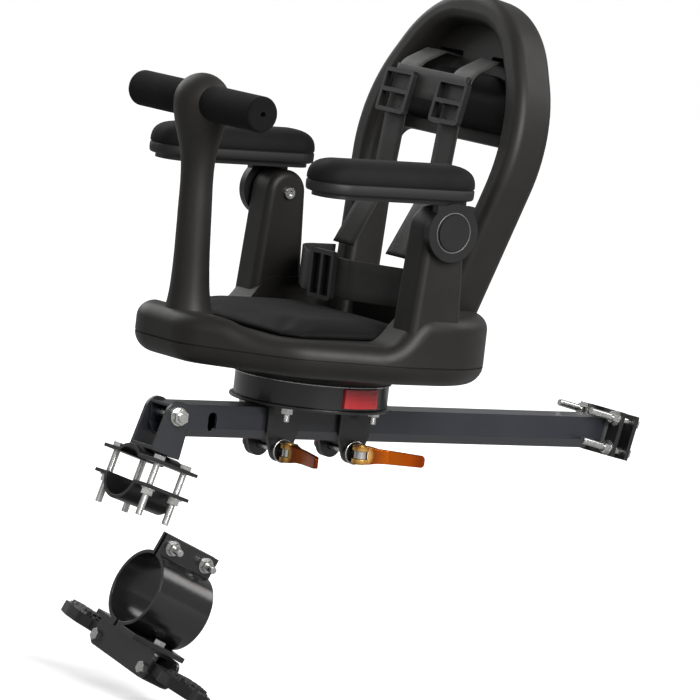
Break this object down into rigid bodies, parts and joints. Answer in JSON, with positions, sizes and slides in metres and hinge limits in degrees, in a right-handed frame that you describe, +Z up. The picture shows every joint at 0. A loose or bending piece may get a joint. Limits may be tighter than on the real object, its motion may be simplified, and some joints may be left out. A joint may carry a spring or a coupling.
{
  "type": "child seat for a bicycle frame",
  "caption": "Child seat on a square beam that clamps between seat post and top tube, with turntable, folding armrests, harness and a clamp-on footrest.",
  "frame": {"origin": "centre of the seat post clamp's bore, on the beam's axis", "axes": "+X forward along the beam, +Y the child's left, +Z up"},
  "size_m": [0.5557, 0.31, 0.6347],
  "materials": {
    "beam": "satin dark bluish grey coat",
    "black_steel": "satin black coat",
    "slate_steel": "satin slate grey coat",
    "gloss_steel": "gloss black coat",
    "zinc": "bright zinc plate",
    "orange_anodised": "orange anodised",
    "red_anodised": "dark red anodised",
    "brass": "turned",
    "black_plastic": "fine grain",
    "gloss_black": "gloss",
    "red_plastic": "gloss",
    "foam_body": "matt moulded foam skin",
    "pad_foam": "matt moulded foam skin",
    "grip_foam": "soft foam",
    "webbing": "woven",
    "tread_rubber": "moulded rubber"
  },
  "bodies": {
    "frame_side": {"main_beam": "beam", "seatpost_clamp_front": "black_steel", "seatpost_clamp_rear": "black_steel", "seatpost_clamp_bolts": "zinc", "seatpost_clamp_nuts": "zinc", "downtube_clamp_left": "gloss_steel", "downtube_clamp_right": "gloss_steel", "downtube_clamp_bolts": "zinc", "footrest_nuts": "zinc", "footrest_sole_bolts": "zinc", "footrest_channel": "gloss_steel", "pedal_bolts": "zinc"},
    "front_clamp": {"clevis_bracket": "slate_steel", "upper_saddle": "black_steel", "lower_saddle": "black_steel", "saddle_bolts": "zinc", "saddle_nuts": "zinc", "clevis_pivot_bolt": "zinc", "clevis_pivot_nut": "zinc"},
    "carriage": {"base_flange": "black_steel", "front_clamp_saddle": "black_steel", "rear_clamp_saddle": "black_steel", "flange_bolts": "zinc", "flange_nuts": "zinc", "turntable_retainer": "zinc", "qr_skewer_front": "zinc", "qr_skewer_rear": "zinc", "qr_cup_washers": "black_plastic", "qr_acorn_nuts": "red_anodised"},
    "seat": {"turntable_drum": "gloss_black", "seat_shell": "foam_body", "handle_bar": "zinc", "grip_left": "grip_foam", "grip_right": "grip_foam", "seat_pad": "pad_foam", "back_pad": "pad_foam", "shoulder_strap_left": "webbing", "shoulder_strap_right": "webbing", "chest_strap": "webbing", "lap_strap": "webbing", "shoulder_adjusters": "black_plastic", "waist_buckle": "black_plastic"},
    "latch": {"latch_button": "red_plastic"},
    "armrest_left": {"armrest_arm_left": "black_plastic", "armrest_pad_left": "pad_foam", "hub_cap_left": "black_plastic", "pivot_screw_left": "zinc"},
    "armrest_right": {"armrest_arm_right": "black_plastic", "armrest_pad_right": "pad_foam", "hub_cap_right": "black_plastic", "pivot_screw_right": "zinc"},
    "lever_front": {"qr_lever_front": "orange_anodised", "qr_pin_front": "brass"},
    "lever_rear": {"qr_lever_rear": "orange_anodised", "qr_pin_rear": "brass"},
    "pedal_near": {"pedal_left": "black_plastic", "pedal_tread_left": "tread_rubber"},
    "pedal_far": {"pedal_right": "black_plastic", "pedal_tread_right": "tread_rubber"}
  },
  "joints": [
    {"name": "front_clamp_tilt", "type": "hinge", "parent": "frame_side", "child": "front_clamp", "pos_m": [0.484, 0, 0.0045], "axis": [0, 1, 0], "range_deg": [-20, 25]},
    {"name": "carriage_slide", "type": "slide", "parent": "frame_side", "child": "carriage", "axis": [1, 0, 0], "range_m": [-0.06, 0.05]},
    {"name": "seat_turn", "type": "hinge", "parent": "carriage", "child": "seat", "pos_m": [0.333, 0, 0.03], "axis": [0, 0, 1], "continuous": true},
    {"name": "latch_press", "type": "slide", "parent": "seat", "child": "latch", "axis": [0.1045, -0.9945, 0], "range_m": [0, 0.005], "stiffness_N_per_m": 600, "springref_m": -0.003},
    {"name": "armrest_left_lift", "type": "hinge", "parent": "seat", "child": "armrest_left", "pos_m": [0.306, 0.1443, 0.194], "axis": [0, -1, 0], "range_deg": [0, 75]},
    {"name": "armrest_right_lift", "type": "hinge", "parent": "seat", "child": "armrest_right", "pos_m": [0.306, -0.1443, 0.194], "axis": [0, -1, 0], "range_deg": [0, 75]},
    {"name": "front_lever_swing", "type": "hinge", "parent": "carriage", "child": "lever_front", "pos_m": [0.372, 0.0326, -0.023], "axis": [0, 0, 1], "range_deg": [-52, 92]},
    {"name": "rear_lever_swing", "type": "hinge", "parent": "carriage", "child": "lever_rear", "pos_m": [0.294, 0.0326, -0.023], "axis": [0, 0, 1], "range_deg": [-109, 31]},
    {"name": "left_pedal_fold", "type": "hinge", "parent": "frame_side", "child": "pedal_near", "pos_m": [0.48868, 0.03445, -0.22363], "axis": [0.9272, 0, 0.3746], "range_deg": [0, 70]},
    {"name": "right_pedal_fold", "type": "hinge", "parent": "frame_side", "child": "pedal_far", "pos_m": [0.48352, -0.05247, -0.21086], "axis": [-0.9272, 0, -0.3746], "range_deg": [0, 70]}
  ]
}
